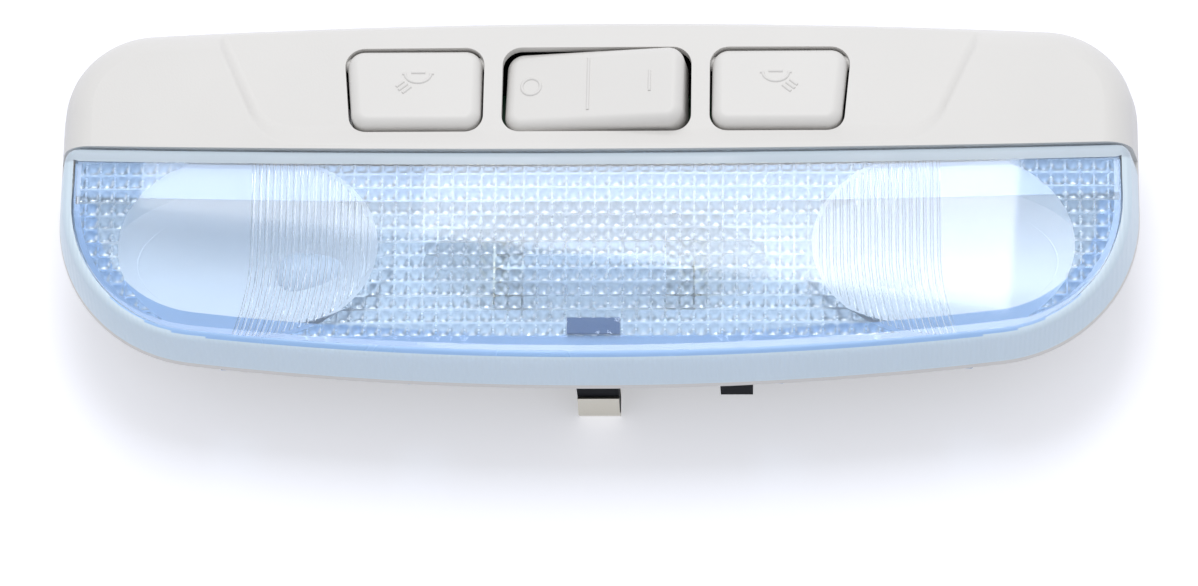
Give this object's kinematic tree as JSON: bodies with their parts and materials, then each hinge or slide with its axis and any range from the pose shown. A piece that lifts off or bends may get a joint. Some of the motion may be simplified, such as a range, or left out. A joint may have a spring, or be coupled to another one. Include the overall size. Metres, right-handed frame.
{
  "type": "car dome light",
  "caption": "Car roof lamp with a tinted pillow-pattern lens, oval map-light windows, a light grey switch panel with map buttons and a dome rocker, and a clip-in rear housing.",
  "frame": {"origin": "middle of the rim's outline, on the plane of the rim that lies against the headliner", "axes": "+X along the lamp, +Y towards the switch side, +Z out of the lit face into the cabin"},
  "size_m": [0.2072, 0.074, 0.0377],
  "materials": {
    "bezel_grey": "fine moulded grain, satin",
    "button_grey": "smooth satin",
    "lens_blue": "clear pale blue moulding, polished",
    "housing_black": "as moulded",
    "reflector_white": "white, satin",
    "reflector_silver": "vacuum metallised",
    "bulb_glass": "clear",
    "bulb_cap": "drawn metal",
    "contact_brass": "stamped strip",
    "board_green": "solder mask",
    "switch_black": "as moulded",
    "switch_metal": "folded plate",
    "plunger_white": "as moulded",
    "pin_tin": "tin plated",
    "spring_steel": "zinc plated strip",
    "screw_steel": "zinc plated"
  },
  "bodies": {
    "lamp": {"bezel": "bezel_grey", "board_screws": "screw_steel", "circuit_board": "board_green", "clip_front": "spring_steel", "clip_rear_left": "spring_steel", "clip_rear_right": "spring_steel", "connector_pins": "pin_tin", "connector_shell": "housing_black", "dome_bulb_caps": "bulb_cap", "dome_bulb_glass": "bulb_glass", "festoon_contact_left": "contact_brass", "festoon_contact_right": "contact_brass", "housing_screws": "screw_steel", "lens": "lens_blue", "map_bulb_holder_left": "housing_black", "map_bulb_holder_right": "housing_black", "map_bulb_left": "bulb_glass", "map_bulb_right": "bulb_glass", "map_contact_left": "contact_brass", "map_contact_right": "contact_brass", "map_reflector_left": "reflector_silver", "map_reflector_right": "reflector_silver", "map_switch_left": "switch_black", "map_switch_right": "switch_black", "rear_housing": "housing_black", "reflector_panel": "reflector_white", "slide_switch": "switch_metal"},
    "map_button_left": {"map_button_left": "button_grey"},
    "map_button_right": {"map_button_right": "button_grey"},
    "dome_rocker": {"dome_rocker": "button_grey"},
    "map_plunger_left": {"map_plunger_left": "plunger_white"},
    "map_plunger_right": {"map_plunger_right": "plunger_white"},
    "slide_knob": {"slide_knob": "plunger_white"}
  },
  "joints": [
    {"name": "map_button_left_press", "type": "hinge", "parent": "lamp", "child": "map_button_left", "pos_m": [-0.0352, 0.027, 0.0068], "axis": [1, 0, 0], "range_deg": [0, 7], "stiffness_Nm_per_rad": 0.05, "springref_deg": -2.29},
    {"name": "map_plunger_left_slide", "type": "slide", "parent": "lamp", "child": "map_plunger_left", "axis": [0, 0, -1], "range_m": [0, 0.0008]},
    {"name": "map_button_right_press", "type": "hinge", "parent": "lamp", "child": "map_button_right", "pos_m": [0.0352, 0.027, 0.0068], "axis": [1, 0, 0], "range_deg": [0, 7], "stiffness_Nm_per_rad": 0.05, "springref_deg": -2.29},
    {"name": "map_plunger_right_slide", "type": "slide", "parent": "lamp", "child": "map_plunger_right", "axis": [0, 0, -1], "range_m": [0, 0.0008]},
    {"name": "dome_rocker_tilt", "type": "hinge", "parent": "lamp", "child": "dome_rocker", "pos_m": [0, 0.0206, 0.006], "axis": [0, 1, 0], "range_deg": [0, 14]},
    {"name": "slide_knob_slide", "type": "slide", "parent": "lamp", "child": "slide_knob", "axis": [1, 0, 0], "range_m": [-0.00185, 0]}
  ],
  "couplings": [
    {"joint": "map_plunger_left_slide", "follows": "map_button_left_press", "m_per_rad": 0.0064},
    {"joint": "map_plunger_right_slide", "follows": "map_button_right_press", "m_per_rad": 0.0064},
    {"joint": "slide_knob_slide", "follows": "dome_rocker_tilt", "m_per_rad": -0.0075}
  ]
}
